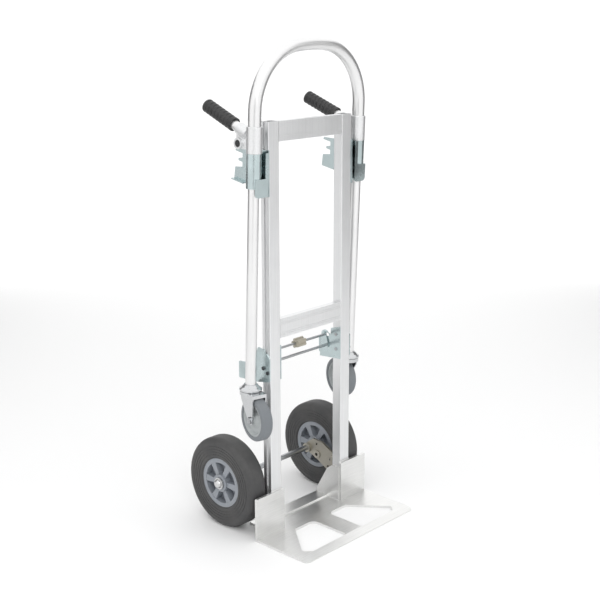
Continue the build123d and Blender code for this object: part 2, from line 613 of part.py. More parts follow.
with BuildPart() as leg_tube:
    with BuildSketch(placed(LEANED, at=(HANDLE_X, 0, TUBE_FOOT_Z))):
        Circle(LEG_R)
        Circle(LEG_R - TUBE_WALL, mode=Mode.SUBTRACT)
    extrude(amount=TUBE_JOINT_Z - TUBE_FOOT_Z)
write_pair(leg_tube.part, "leg_tube")

GRIP_DIR = Vector(
    -sin(radians(GRIP_TOE_IN)), cos(radians(GRIP_TOE_IN)) * cos(radians(GRIP_RISE)),
    cos(radians(GRIP_TOE_IN)) * sin(radians(GRIP_RISE)),
)
GRIP_FRAME = placed(LEANED, Plane(origin=(HANDLE_X, 0, GRIP_AXIS_Z), x_dir=(1, 0, 0), z_dir=GRIP_DIR))

with BuildPart() as handle_casting:
    with BuildSketch(placed(LEANED, at=(HANDLE_X, 0, CASTING_Z[0]))):
        Circle(CASTING_R)
    extrude(amount=CASTING_Z[1] - CASTING_Z[0])
    fillet(handle_casting.edges().group_by(Axis.Z)[-1], radius=1.5)
    with BuildSketch(placed(LEANED, Plane.YZ, at=(HANDLE_X - CASTING_WEB_T / 2, 0, 0))):
        with BuildLine():
            Polyline(
                (CASTING_R - 6, CASTING_Z[0] + 8), (BOSS_Y, BOSS_Z - BOSS_R), (BOSS_Y + BOSS_R - 2, BOSS_Z),
                (SOCKET_END - 4, GRIP_AXIS_Z + SOCKET_END * sin(radians(GRIP_RISE))),
                (CASTING_R - 6, CASTING_Z[1] - 6), close=True,
            )
        make_face()
    extrude(amount=CASTING_WEB_T)
    with BuildSketch(placed(LEANED, Plane.YZ, at=(BOSS_X[0], 0, 0))):
        with Locations((BOSS_Y, BOSS_Z)):
            Circle(BOSS_R)
    extrude(amount=BOSS_X[1] - BOSS_X[0])
    with BuildSketch(placed(GRIP_FRAME, at=(0, 0, SOCKET_START))):
        Circle(SOCKET_R)
    extrude(amount=SOCKET_END - SOCKET_START)
    with BuildSketch(placed(GRIP_FRAME, at=(0, 0, SOCKET_START + 6))):
        Circle(GRIP_TUBE_R + FIT)
    extrude(amount=SOCKET_END, mode=Mode.SUBTRACT)
    with BuildSketch(placed(LEANED, Plane.YZ, at=(BOSS_X[0], 0, 0))):
        with Locations((BOSS_Y, BOSS_Z)):
            Circle(BOSS_BORE_R)
    extrude(amount=BOSS_X[1] - BOSS_X[0], mode=Mode.SUBTRACT)
    with BuildSketch(placed(LEANED, at=(HANDLE_X, 0, CASTING_Z[0]))):
        Circle(LEG_R + FIT)
    extrude(amount=CASTING_Z[1] - CASTING_Z[0], mode=Mode.SUBTRACT)
    with BuildSketch(placed(LEANED, at=(HANDLE_X, 0, TUBE_JOINT_Z))):
        Circle(TUBE_R + FIT)
    extrude(amount=CASTING_Z[1] - TUBE_JOINT_Z, mode=Mode.SUBTRACT)
write_pair(handle_casting.part, "handle_casting")

with BuildPart() as grip_tube:
    with BuildSketch(placed(GRIP_FRAME, at=(0, 0, SOCKET_START + 6))):
        Circle(GRIP_TUBE_R)
        Circle(GRIP_TUBE_R - GRIP_TUBE_WALL, mode=Mode.SUBTRACT)
    extrude(amount=GRIP_START + GRIP_L - 10 - SOCKET_START - 6)
    with BuildSketch(placed(LEANED, Plane.YZ, at=(BOSS_X[0], 0, 0))):
        with Locations((BOSS_Y, BOSS_Z)):
            Circle(BOSS_BORE_R)
    extrude(amount=BOSS_X[1] - BOSS_X[0], mode=Mode.SUBTRACT)
write_pair(grip_tube.part, "grip_tube")

with BuildPart() as boss_plugs:
    for side in (-1, 1):
        with BuildSketch(placed(LEANED, Plane.YZ, at=(side * (BOSS_X[0] + BOSS_X[1]) / 2, 0, 0))):
            with Locations((BOSS_Y, BOSS_Z)):
                Circle(BOSS_BORE_R - FIT)
        extrude(amount=(BOSS_X[1] - BOSS_X[0]) / 2 - PLUG_INSET, both=True)
write(boss_plugs.part, "boss_plugs")

with BuildPart() as grip:
    with BuildSketch(placed(GRIP_FRAME, at=(0, 0, GRIP_START))):
        Circle(GRIP_R)
    extrude(amount=GRIP_L)
    fillet(grip.edges().sort_by(Axis.Y)[-1], radius=5)
    fillet(grip.edges().sort_by(Axis.Y)[0], radius=2)
    with BuildSketch(placed(GRIP_FRAME, at=(0, 0, GRIP_START))):
        Circle(GRIP_TUBE_R + FIT)
    extrude(amount=GRIP_L - 9, mode=Mode.SUBTRACT)
write_pair(grip.part, "grip")

# ================================================================ swivel brackets that guide the legs
with BuildPart() as hinge_plate:
    with BuildSketch(Plane.YZ.offset(RAIL_OUTER)) as side_face:
        with Locations((RAIL_FRONT + (RAIL_D - HINGE_PLATE_T) / 2, sum(HINGE_PLATE_Z) / 2)):
            Rectangle(RAIL_D + HINGE_PLATE_T, HINGE_PLATE_Z[1] - HINGE_PLATE_Z[0])
        fillet(side_face.vertices().group_by(Axis.X)[-1], radius=5)
    extrude(amount=HINGE_PLATE_T)
    with Locations(*[(RAIL_OUTER, y, z) for y, z in hinge_rivets]):
        Cylinder(RIVET_R + FIT, 4 * HINGE_PLATE_T, rotation=(0, 90, 0), mode=Mode.SUBTRACT)
    with Locations((RAIL_OUTER, FOLD_Y, FOLD_Z)):
        Cylinder(FOLD_PIN_R + FIT, 4 * HINGE_PLATE_T, rotation=(0, 90, 0), mode=Mode.SUBTRACT)
write_pair(hinge_plate.part, "hinge_plate")

with BuildPart() as fold_pins:
    shank_x = RAIL_OUTER - GROOVE_DEPTH - RAIL_WALL - 3
    head_x = HOOK_X + HOOK_T + GAP
    for side in (-1, 1):
        with Locations((side * (shank_x + head_x) / 2, FOLD_Y, FOLD_Z)):
            Cylinder(FOLD_PIN_R, head_x - shank_x, rotation=(0, 90, 0))
        with Locations((side * (head_x + FOLD_HEAD_T / 2), FOLD_Y, FOLD_Z)):
            Cylinder(FOLD_HEAD_R, FOLD_HEAD_T, rotation=(0, 90, 0))
        collar = RAIL_OUTER + HINGE_PLATE_T
        with Locations((side * (collar + HOOK_X - GAP) / 2, FOLD_Y, FOLD_Z)):
            Cylinder(FOLD_HEAD_R, HOOK_X - GAP - collar, rotation=(0, 90, 0))
    chamfer(fold_pins.edges().group_by(Axis.X)[0] + fold_pins.edges().group_by(Axis.X)[-1], length=1)
write(fold_pins.part, "fold_pins")

with BuildPart() as swivel_bracket:
    pin_y, pin_z = lean_y(FOLD_Y, FOLD_Z), lean_z(FOLD_Y, FOLD_Z)
    top = CASTING_Z[0] - GAP
    with BuildSketch(placed(LEANED, Plane.YZ, at=(HOOK_X, 0, 0))) as hook_face:
        with BuildLine():
            Polyline(
                (HOOK_FRONT, top - 4), (HOOK_FRONT, pin_z), (pin_y + 12, pin_z - 8),
                (HOOK_TIP - 40, pin_z + 14), (HOOK_TIP + 3, pin_z + 21), (HOOK_TIP, pin_z + 50),
                (HOOK_ROOT, pin_z + 53), (HOOK_ROOT, pin_z + 65), (TOOTH_TIP, pin_z + 68),
                (TOOTH_TIP, pin_z + 74), (HOOK_ROOT, pin_z + 77), (HOOK_ROOT, pin_z + 88),
                (HOOK_TIP, top - 6), (HOOK_TIP - 2, top), (CASTING_R, top), (CASTING_R - 8, top - 4),
                close=True,
            )
        make_face()
        with Locations((pin_y, pin_z)):
            Circle(HOOK_LOBE_R)
    extrude(amount=HOOK_T)
    with BuildSketch(placed(LEANED, Plane.YZ, at=(HOOK_X, 0, 0))):
        with BuildLine():
            Polyline(
                (HOOK_TIP - 40, pin_z + 14), (HOOK_TIP + 3, pin_z + 21), (HOOK_TIP + 3, pin_z + 18),
                (HOOK_TIP - 40, pin_z + 11), close=True,
            )
        make_face()
    extrude(amount=HOOK_T + 12)
    with BuildSketch(placed(LEANED, at=(HANDLE_X, 0, SLEEVE_Z0))):
        Circle(SLEEVE_R)
    extrude(amount=top - SLEEVE_Z0)
    with BuildSketch(placed(LEANED, at=(0, 0, SLEEVE_Z0))):
        with Locations(((HOOK_X + HANDLE_X) / 2, sum(REAR_WEB_Y) / 2)):
            Rectangle(HANDLE_X - HOOK_X, REAR_WEB_Y[1] - REAR_WEB_Y[0])
    extrude(amount=top - SLEEVE_Z0)
    with BuildSketch(placed(LEANED, Plane.XZ, at=(0, -SLEEVE_R + 1, 0))) as tongue:
        with Locations(((HOOK_X + TONGUE_OUT) / 2, sum(TONGUE_Z) / 2)):
            Rectangle(TONGUE_OUT - HOOK_X, TONGUE_Z[1] - TONGUE_Z[0])
        fillet(tongue.vertices().group_by(Axis.Y)[0], radius=TONGUE_R)
        with Locations((HOOK_X + CHEEK_W / 2, (TONGUE_Z[1] + top) / 2)):
            Rectangle(CHEEK_W, top - TONGUE_Z[1] + 2)
    extrude(amount=TONGUE_T)
    with BuildSketch(placed(LEANED, at=(0, 0, TONGUE_Z[0] + TONGUE_R))):
        with Locations((HOOK_X + HOOK_T / 2, (HOOK_FRONT - SLEEVE_R) / 2)):
            Rectangle(HOOK_T, SLEEVE_R + HOOK_FRONT + 2)
    extrude(amount=top - TONGUE_Z[0] - TONGUE_R)
    with BuildSketch(placed(LEANED, at=(HANDLE_X, 0, SLEEVE_Z0))):
        Circle(BUSH_R + FIT)
    extrude(amount=top - SLEEVE_Z0, mode=Mode.SUBTRACT)
    with Locations((HOOK_X, FOLD_Y, FOLD_Z)):
        Cylinder(FOLD_PIN_R + RUNNING, 4 * HOOK_T, rotation=(0, 90, 0), mode=Mode.SUBTRACT)
write_pair(swivel_bracket.part, "swivel_bracket")

with BuildPart() as guide_bush:
    with BuildSketch(placed(LEANED, at=(HANDLE_X, 0, SLEEVE_Z0))):
        Circle(BUSH_R)
        Circle(LEG_R + SLIDE_CLEAR, mode=Mode.SUBTRACT)
    extrude(amount=CASTING_Z[0] - GAP - SLEEVE_Z0)
write_pair(guide_bush.part, "guide_bush")

# ================================================================ lower bracket, tie rod and latch
with BuildPart() as lower_bracket:
    with BuildSketch(Plane.YZ.offset(RAIL_OUTER)) as plate:
        with BuildLine():
            low = KEEPER_BOTTOM
            Polyline(
                (RAIL_FRONT, low + 1), (RAIL_FRONT, low + 63), (RAIL_BACK - 8, low + 88),
                (RAIL_BACK + 14, low + 92), (RAIL_BACK + 28, low + 55), (KEEPER_BACK + 13, low + 39),
                (KEEPER_BACK + 42, low + 37), (KEEPER_BACK + 42, low - 11), (RAIL_BACK + 22, low - 9),
                close=True,
            )
        make_face()
        fillet(plate.vertices(), radius=4)
        with Locations(*FOOT_SCREW_YZ):
            Circle(FOOT_SCREW_R + FIT, mode=Mode.SUBTRACT)
    extrude(amount=FOOT_PLATE_T)
write_pair(lower_bracket.part, "lower_bracket")

with BuildPart() as foot_screws:
    head_r, head_t = FOOT_SCREW_HEAD
    for side in (-1, 1):
        with BuildSketch(Plane.YZ.offset(side * (RAIL_OUTER + FOOT_PLATE_T))):
            with Locations(*FOOT_SCREW_YZ):
                Circle(FOOT_SCREW_R)
        extrude(amount=-side * (FOOT_PLATE_T + RAIL_WALL + 1))
        with BuildSketch(Plane.YZ.offset(side * (RAIL_OUTER + FOOT_PLATE_T))):
            with Locations(*FOOT_SCREW_YZ):
                RegularPolygon(head_r, 6)
        extrude(amount=side * head_t)
write(foot_screws.part, "foot_screws")

with BuildPart() as keeper:
    with BuildSketch(Plane.YZ.offset(KEEPER_X)):
        with BuildLine():
            Polyline(
                (RAIL_FRONT, KEEPER_BOTTOM), (RAIL_FRONT, KEEPER_TOP), (RAIL_BACK + 4, KEEPER_TOP - 10),
                (RAIL_BACK + 6, LATCH_Z + 3), (LATCH_Y - HOOK_R * 0.8, LATCH_Z + HOOK_R * 0.6),
                (LATCH_Y, LATCH_Z), (LATCH_Y + HOOK_R - 1, LATCH_Z - 4), (KEEPER_BACK - 3, TIE_Z - 10),
                (KEEPER_BACK, KEEPER_BOTTOM - 5), close=True,
            )
        make_face()
        with Locations((LATCH_Y, LATCH_Z)):
            Circle(HOOK_R)
        with BuildSketch(mode=Mode.SUBTRACT):
            with Locations(*[swung(LATCH_SWING * share) for share in (0, 0.5, 1)]):
                Circle(LATCH_ROD_R + HOOK_CLEAR)
            make_hull()
        with Locations((TIE_Y, TIE_Z)):
            Circle(TIE_ROD_R + FIT, mode=Mode.SUBTRACT)
        with Locations(*keeper_rivets):
            Circle(RIVET_R + FIT, mode=Mode.SUBTRACT)
    extrude(amount=KEEPER_T)
write_pair(keeper.part, "latch_keeper")

with BuildPart() as tie_rod:
    with BuildSketch(Plane.YZ):
        with Locations((TIE_Y, TIE_Z)):
            Circle(TIE_ROD_R)
    extrude(amount=RAIL_INNER, both=True)
    chamfer(tie_rod.edges(), length=0.8)
write(tie_rod.part, "tie_rod")

with BuildPart() as latch_links:
    for side in (-1, 1):
        with BuildSketch(Plane.YZ.offset(side * (LINK_X + LINK_T / 2) - LINK_T / 2)):
            with Locations((TIE_Y, TIE_Z), (LATCH_Y, LATCH_Z)):
                Circle(LINK_R)
            make_hull()
            with Locations((TIE_Y, TIE_Z)):
                Circle(TIE_ROD_R + RUNNING, mode=Mode.SUBTRACT)
            with Locations((LATCH_Y, LATCH_Z)):
                Circle(LATCH_ROD_R + FIT, mode=Mode.SUBTRACT)
        extrude(amount=LINK_T)
write(latch_links.part, "latch_links")

with BuildPart() as latch_rod:
    with BuildSketch(Plane.YZ):
        with Locations((LATCH_Y, LATCH_Z)):
            Circle(LATCH_ROD_R)
    extrude(amount=RAIL_INNER - 2 * GAP, both=True)
write(latch_rod.part, "latch_rod")

with BuildPart() as latch_knob:
    with BuildSketch(Plane.YZ.offset(KNOB_X - KNOB_L / 2)):
        with Locations((LATCH_Y, LATCH_Z)):
            Circle(KNOB_R)
            with PolarLocations(KNOB_R, KNOB_LOBES):
                Circle(KNOB_LOBE_R)
            Circle(LATCH_ROD_R + FIT, mode=Mode.SUBTRACT)
    extrude(amount=KNOB_L)
write(latch_knob.part, "latch_knob")


# ================================================================ casters
def caster_frame(side):
    """The swivel's own frame on a leg: z up the tube, and the wheel trails towards -y."""
    x = HANDLE_X if side == "right" else -HANDLE_X
    return Plane(LEANED.location * Location((x, 0, 0), (0, 0, CASTER_HEADING[side])))


def caster_stem(frame):
    """Raceway cup and kingpin, with a plug that seats in the leg tube."""
    nut_z = FORK_CROWN_Z[0] - GAP - KINGPIN_NUT_T
    plug_r = LEG_R - TUBE_WALL - FIT
    with BuildPart(frame) as stem:
        with BuildSketch(placed(frame, Plane.XZ)):
            with BuildLine():
                Polyline(
                    (0, nut_z), (KINGPIN_NUT_R, nut_z), (KINGPIN_NUT_R, nut_z + KINGPIN_NUT_T),
                    (KINGPIN_R, nut_z + KINGPIN_NUT_T), (KINGPIN_R, CUP_Z), (CUP_R - 2, CUP_Z),
                    (CUP_R, CUP_Z + 2), (CUP_R, CUP_Z + 6), (CUP_R - 7, CUP_Z + 11),
                    (LEG_R + 3, CUP_Z + CUP_H), (plug_r, CUP_Z + CUP_H), (plug_r, TUBE_FOOT_Z + STEM_L),
                    (0, TUBE_FOOT_Z + STEM_L), close=True,
                )
            make_face()
        revolve(axis=Axis(frame.origin, frame.z_dir))
    return stem.part


def caster_fork(frame):
    """A crown disc with two tapered legs down to the wheel's bolt."""
    crown_mid = sum(FORK_CROWN_Z) / 2
    with BuildPart(frame) as fork:
        with BuildSketch(placed(frame, at=(0, 0, FORK_CROWN_Z[0]))):
            Circle(FORK_CROWN_R)
            with Locations((0, -(CASTER_TRAIL + FORK_EYE_R) / 2)):
                Rectangle(FORK_INSIDE + 2 * FORK_T, CASTER_TRAIL + FORK_EYE_R)
        extrude(amount=FORK_CROWN_Z[1] - FORK_CROWN_Z[0])
        for side in (-1, 1):
            cheek_x = side * (FORK_INSIDE + FORK_T) / 2 - FORK_T / 2
            with BuildSketch(placed(frame, Plane.YZ, at=(cheek_x, 0, 0))):
                with BuildLine():
                    Polyline(
                        (-CASTER_TRAIL - FORK_EYE_R, CASTER_AXLE_Z), (-CASTER_TRAIL - FORK_EYE_R, crown_mid),
                        (18, crown_mid), (12, crown_mid - 20),
                        (-CASTER_TRAIL + FORK_EYE_R - 1, CASTER_AXLE_Z - 4), close=True,
                    )
                make_face()
                with Locations((-CASTER_TRAIL, CASTER_AXLE_Z)):
                    Circle(FORK_EYE_R)
                    Circle(CASTER_BOLT_R + FIT, mode=Mode.SUBTRACT)
            extrude(amount=FORK_T)
        with BuildSketch(placed(frame, at=(0, 0, FORK_CROWN_Z[0]))):
            Circle(KINGPIN_R + RUNNING)
        extrude(amount=FORK_CROWN_Z[1] - FORK_CROWN_Z[0], mode=Mode.SUBTRACT)
    return fork.part


def caster_bolt(frame):
    """The wheel's bolt, with a hexagon head and a nut outside the fork."""
    outside = FORK_INSIDE / 2 + FORK_T
    with BuildPart() as bolt:
        with BuildSketch(placed(frame, Plane.YZ, at=(-outside, 0, 0))):
            with Locations((-CASTER_TRAIL, CASTER_AXLE_Z)):
                Circle(CASTER_BOLT_R)
        extrude(amount=2 * outside + BOLT_HEAD_T + 2)
        for x in (-outside - BOLT_HEAD_T, outside):
            with BuildSketch(placed(frame, Plane.YZ, at=(x, 0, 0))):
                with Locations((-CASTER_TRAIL, CASTER_AXLE_Z)):
                    RegularPolygon(BOLT_HEX + 3, 6)
            extrude(amount=BOLT_HEAD_T)
    return bolt.part


def caster_tread(frame):
    """The rubber band, rounded at both shoulders."""
    hub = placed(frame, Plane.XZ, at=(0, -CASTER_TRAIL, CASTER_AXLE_Z))
    with BuildPart() as tread:
        with BuildSketch(hub) as section:
            with Locations((0, CASTER_R - CASTER_TREAD_T / 2)):
                Rectangle(CASTER_W, CASTER_TREAD_T)
            fillet(section.vertices().group_by(Axis.Y)[-1], radius=7)
        revolve(axis=Axis(hub.origin, hub.x_dir))
    return tread.part


def caster_core(frame):
    """The wheel's plastic centre: rim, thin web and hub."""
    hub = placed(frame, Plane.XZ, at=(0, -CASTER_TRAIL, CASTER_AXLE_Z))
    rim_r = CASTER_R - CASTER_TREAD_T
    bore_r = CASTER_BOLT_R + RUNNING
    with BuildPart() as core:
        with BuildSketch(hub):
            with BuildLine():
                half_rim, half_web, half_hub = CASTER_W / 2 - 2, 5.0, CASTER_HUB_W / 2
                Polyline(
                    (-half_rim, rim_r), (half_rim, rim_r), (half_rim, rim_r - 5), (half_web + 2, rim_r - 11),
                    (half_web, CASTER_HUB_R + 9), (half_hub - 5, CASTER_HUB_R), (half_hub, CASTER_HUB_R - 1),
                    (half_hub, bore_r), (-half_hub, bore_r), (-half_hub, CASTER_HUB_R - 1),
                    (5 - half_hub, CASTER_HUB_R), (-half_web, CASTER_HUB_R + 9), (-half_web - 2, rim_r - 11),
                    (-half_rim, rim_r - 5), close=True,
                )
            make_face()
        revolve(axis=Axis(hub.origin, hub.x_dir))
    return core.part


for hand in ("left", "right"):
    place = caster_frame(hand)
    write(caster_stem(place), f"caster_stem_{hand}")
    write(caster_fork(place), f"caster_fork_{hand}")
    write(caster_bolt(place), f"caster_bolt_{hand}")
    write(caster_tread(place), f"caster_tread_{hand}")
    write(caster_core(place), f"caster_core_{hand}")
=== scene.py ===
# %% [markdown]
# # A convertible hand truck
# The truck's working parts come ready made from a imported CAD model: rails, tubes, brackets, wheels
# and casters, each already in its place. This script dresses them. It gives every part a procedural
# finish, adds the small pieces that are easier to grow from a rule than to draw, such as ribbed
# grips and weld beads, and sets up a plain studio. Everything is in metres. Up is +Z, the nose
# plate points to -Y, and +X is the right-hand side seen from the nose.

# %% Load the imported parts
import json
from math import cos, pi, radians, sin

import bpy
from mathutils import Matrix, Vector


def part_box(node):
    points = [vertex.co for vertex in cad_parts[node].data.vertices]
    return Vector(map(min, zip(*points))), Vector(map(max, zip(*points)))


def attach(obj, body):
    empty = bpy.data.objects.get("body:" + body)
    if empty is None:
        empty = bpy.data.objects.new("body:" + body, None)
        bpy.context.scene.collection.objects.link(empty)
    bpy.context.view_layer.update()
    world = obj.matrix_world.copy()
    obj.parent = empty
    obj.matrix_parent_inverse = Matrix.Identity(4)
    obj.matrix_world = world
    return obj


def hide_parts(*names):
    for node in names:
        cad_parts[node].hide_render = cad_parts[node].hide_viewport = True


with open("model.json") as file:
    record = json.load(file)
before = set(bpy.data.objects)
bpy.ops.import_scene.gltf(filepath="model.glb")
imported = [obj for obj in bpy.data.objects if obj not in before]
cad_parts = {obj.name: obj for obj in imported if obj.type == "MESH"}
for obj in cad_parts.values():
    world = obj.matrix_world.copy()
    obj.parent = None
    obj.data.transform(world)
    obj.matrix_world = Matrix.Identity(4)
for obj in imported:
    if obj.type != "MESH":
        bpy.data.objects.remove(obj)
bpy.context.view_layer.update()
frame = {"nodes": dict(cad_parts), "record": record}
parts = frame["nodes"]

# %% [markdown]
# ## Small helpers for node trees
# Shader and geometry nodes are wired up many times below. Three helpers keep those cells readable:
# one makes a node and fills in its sockets, one joins two sockets, and one opens a new group with
# named inputs and outputs.


# %% Node helpers
def add_node(tree, kind, settings=None, **values):
    """Adds a node. Settings are its properties, and values fill its input sockets by name."""
    node = tree.nodes.new(kind)
    for key, value in (settings or {}).items():
        setattr(node, key, value)
    for key, value in values.items():
        node.inputs[key.replace("_", " ")].default_value = value
    return node


def new_group(name, kind, inputs, outputs):
    """A node group with its sockets, given as (name, socket type, default) and (name, socket type)."""
    group = bpy.data.node_groups.new(name, kind)
    for label, socket, default in inputs:
        item = group.interface.new_socket(label, in_out="INPUT", socket_type=socket)
        if default is not None:
            item.default_value = default
    for label, socket in outputs:
        group.interface.new_socket(label, in_out="OUTPUT", socket_type=socket)
    return group, group.nodes.new("NodeGroupInput"), group.nodes.new("NodeGroupOutput")


def calc(tree, operation, a, b):
    """A Math node. Either side is a number or a socket."""
    node = tree.nodes.new("ShaderNodeMath")
    node.operation = operation
    for socket, value in zip(node.inputs, (a, b)):
        if isinstance(value, (int, float)):
            socket.default_value = value
        else:
            tree.links.new(value, socket)
    return node.outputs[0]


print("helpers ready")

# %% [markdown]
# ## Grain of drawn, rolled and brushed metal
# Aluminium that has been pulled through a die, and steel that has been rolled, carry fine lines
# along their length. A picture of real metal could be wrapped round the parts, but that needs
# images and unwrapping. Noise that is squeezed hard across the grain and barely along it gives the
# same lines on any shape, and costs nothing to place. The group tints the colour a little, spreads
# the roughness, and gives a height for the bump.


# %% Shader group: metal grain
def make_metal_grain():
    group, given, result = new_group(
        "metal grain", "ShaderNodeTree",
        [("Vector", "NodeSocketVector", None), ("Stretch", "NodeSocketVector", (300.0, 300.0, 6.0)),
         ("Color", "NodeSocketColor", (0.8, 0.8, 0.8, 1.0)), ("Contrast", "NodeSocketFloat", 0.1),
         ("Roughness", "NodeSocketFloat", 0.3), ("Spread", "NodeSocketFloat", 0.1),
         ("Smudge", "NodeSocketFloat", 0.1)],
        [("Color", "NodeSocketColor"), ("Roughness", "NodeSocketFloat"), ("Height", "NodeSocketFloat")],
    )
    link = group.links.new
    squeeze = add_node(group, "ShaderNodeVectorMath", {"operation": "MULTIPLY"})
    link(given.outputs["Vector"], squeeze.inputs[0])
    link(given.outputs["Stretch"], squeeze.inputs[1])
    lines = add_node(group, "ShaderNodeTexNoise", Scale=1.0, Detail=3.0, Roughness=0.6)
    link(squeeze.outputs[0], lines.inputs["Vector"])
    clouds = add_node(group, "ShaderNodeTexNoise", Scale=9.0, Detail=4.0, Roughness=0.55)
    link(given.outputs["Vector"], clouds.inputs["Vector"])
    line = calc(group, "SUBTRACT", lines.outputs["Fac"], 0.5)
    cloud = calc(group, "SUBTRACT", clouds.outputs["Fac"], 0.5)
    darker = calc(group, "MULTIPLY", line, given.outputs["Contrast"])
    cloudier = calc(group, "MULTIPLY", cloud, given.outputs["Smudge"])
    shade = calc(group, "ADD", calc(group, "ADD", darker, cloudier), 1.0)
    tint = add_node(group, "ShaderNodeVectorMath", {"operation": "SCALE"})
    link(given.outputs["Color"], tint.inputs[0])
    link(shade, tint.inputs["Scale"])
    link(tint.outputs[0], result.inputs["Color"])
    rough = calc(group, "MULTIPLY", line, given.outputs["Spread"])
    rough = calc(group, "ADD", rough, calc(group, "MULTIPLY", cloudier, 0.8))
    link(calc(group, "ADD", rough, given.outputs["Roughness"]), result.inputs["Roughness"])
    link(lines.outputs["Fac"], result.inputs["Height"])
    return group


METAL_GRAIN = make_metal_grain()
print("made", METAL_GRAIN.name)

# %% [markdown]
# ## Skin of moulded rubber and plastic
# Tyres, grips, hubs and the knob come out of moulds. Their skin has a very fine pebble, and dust
# settles on it in soft patches that turn dark rubber slightly grey. One group serves them all, with
# the pebble and the dust as inputs.


# %% Shader group: moulded skin
def make_moulded_skin():
    group, given, result = new_group(
        "moulded skin", "ShaderNodeTree",
        [("Vector", "NodeSocketVector", None), ("Color", "NodeSocketColor", (0.1, 0.1, 0.1, 1.0)),
         ("Dust Color", "NodeSocketColor", (0.4, 0.38, 0.35, 1.0)), ("Dust", "NodeSocketFloat", 0.1),
         ("Pebble", "NodeSocketFloat", 900.0), ("Roughness", "NodeSocketFloat", 0.6)],
        [("Color", "NodeSocketColor"), ("Roughness", "NodeSocketFloat"), ("Height", "NodeSocketFloat")],
    )
    link = group.links.new
    pebbles = add_node(group, "ShaderNodeTexNoise", Detail=2.0, Roughness=0.5)
    link(given.outputs["Vector"], pebbles.inputs["Vector"])
    link(given.outputs["Pebble"], pebbles.inputs["Scale"])
    patches = add_node(group, "ShaderNodeTexNoise", Scale=14.0, Detail=6.0, Roughness=0.65)
    link(given.outputs["Vector"], patches.inputs["Vector"])
    lift = add_node(group, "ShaderNodeMapRange", From_Min=0.42, From_Max=0.75)
    link(patches.outputs["Fac"], lift.inputs["Value"])
    amount = calc(group, "MULTIPLY", lift.outputs["Result"], given.outputs["Dust"])
    blend = add_node(group, "ShaderNodeMix", {"data_type": "RGBA"})
    link(amount, blend.inputs["Factor"])
    link(given.outputs["Color"], blend.inputs[6])
    link(given.outputs["Dust Color"], blend.inputs[7])
    link(blend.outputs[2], result.inputs["Color"])
    matt = calc(group, "ADD", calc(group, "MULTIPLY", amount, 0.5), given.outputs["Roughness"])
    link(matt, result.inputs["Roughness"])
    link(pebbles.outputs["Fac"], result.inputs["Height"])
    return group


MOULDED_SKIN = make_moulded_skin()
print("made", MOULDED_SKIN.name)

# %% [markdown]
# ## One material per finish
# Each finish is a Principled shader with one of the two groups in front of it. The groups only send
# what changes over the surface; whether a finish is metal, how strong its bump is and how it
# reflects is set on the shader itself.


# %% Material builders
ACROSS_X = (10.0, 420.0, 420.0)
ALONG_Z = (420.0, 420.0, 5.0)
NO_GRAIN = (260.0, 260.0, 260.0)
DUST_COLOUR = (0.4, 0.38, 0.35, 1.0)
RELIEF_STRENGTH = 0.6


def shader_for(name, group, bump):
    """A material whose group feeds colour, roughness and a bump of the given height in metres."""
    material = bpy.data.materials.new(name)
    material.use_nodes = True
    tree = material.node_tree
    shader = tree.nodes["Principled BSDF"]
    place = tree.nodes.new("ShaderNodeTexCoord")
    skin = add_node(tree, "ShaderNodeGroup", {"node_tree": group})
    relief = add_node(tree, "ShaderNodeBump", Strength=RELIEF_STRENGTH, Distance=bump)
    tree.links.new(place.outputs["Object"], skin.inputs["Vector"])
    tree.links.new(skin.outputs["Color"], shader.inputs["Base Color"])
    tree.links.new(skin.outputs["Roughness"], shader.inputs["Roughness"])
    tree.links.new(skin.outputs["Height"], relief.inputs["Height"])
    tree.links.new(relief.outputs["Normal"], shader.inputs["Normal"])
    return material, shader, skin


def metal(name, colour, roughness, stretch=NO_GRAIN, contrast=0.12, spread=0.12, smudge=0.12, bump=0.00004):
    material, shader, skin = shader_for(name, METAL_GRAIN, bump)
    shader.inputs["Metallic"].default_value = 1.0
    for socket, value in (("Stretch", stretch), ("Color", (*colour, 1.0)), ("Contrast", contrast),
                          ("Roughness", roughness), ("Spread", spread), ("Smudge", smudge)):
        skin.inputs[socket].default_value = value
    return material


def moulded(name, colour, roughness, dust=0.1, pebble=900.0, bump=0.00008):
    material, shader, skin = shader_for(name, MOULDED_SKIN, bump)
    shader.inputs["Metallic"].default_value = 0.0
    for socket, value in (("Color", (*colour, 1.0)), ("Dust Color", DUST_COLOUR), ("Dust", dust),
                          ("Pebble", pebble), ("Roughness", roughness)):
        skin.inputs[socket].default_value = value
    return material


